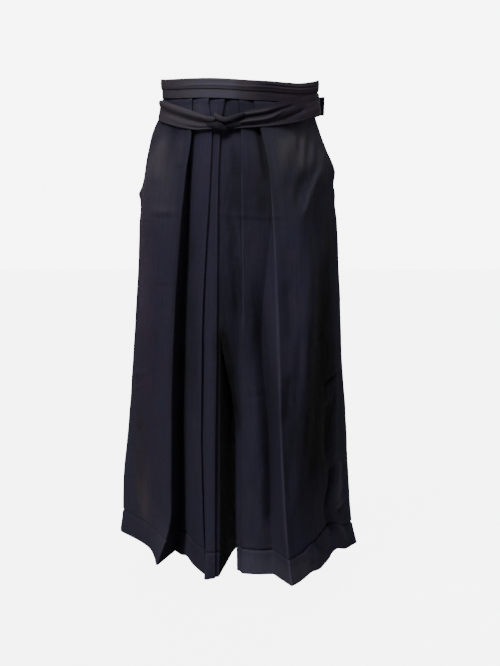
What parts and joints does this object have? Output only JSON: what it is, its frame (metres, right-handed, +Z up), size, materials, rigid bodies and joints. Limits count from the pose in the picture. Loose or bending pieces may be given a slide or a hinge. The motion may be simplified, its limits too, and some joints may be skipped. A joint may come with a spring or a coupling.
{
  "type": "hakama trousers in their worn form",
  "caption": "Divided pleated hakama in its worn form: hollow waist, wide legs, side slits, front band, stiff back board and ties knotted in front.",
  "frame": {"origin": "middle of the waist opening, level with the lower edge of the front band, where the wearer holds the garment", "axes": "+Z up along the wearer, front of the garment toward -Y, wearer's left toward +X"},
  "size_m": [0.5023, 0.374, 0.9501],
  "materials": {
    "dyed_cotton": "woven, matt with a soft sheen, pressed pleats",
    "tie_cotton": "woven, folded double and stitched along its edges",
    "board_cloth": "woven cover over a stiff board, top-stitched"
  },
  "bodies": {
    "root": {"Front_Right": "dyed_cotton", "Front_Left": "dyed_cotton", "Back_Right": "dyed_cotton", "Back_Left": "dyed_cotton", "Gusset_Right": "dyed_cotton", "Gusset_Left": "dyed_cotton", "Front_Band": "tie_cotton", "Front_Tie_Wrap": "tie_cotton", "Back_Board": "board_cloth", "Rear_Tie_Right": "tie_cotton", "Rear_Tie_Left": "tie_cotton", "Tucked_Tie_End": "tie_cotton", "Front_Knot": "tie_cotton"}
  },
  "joints": []
}
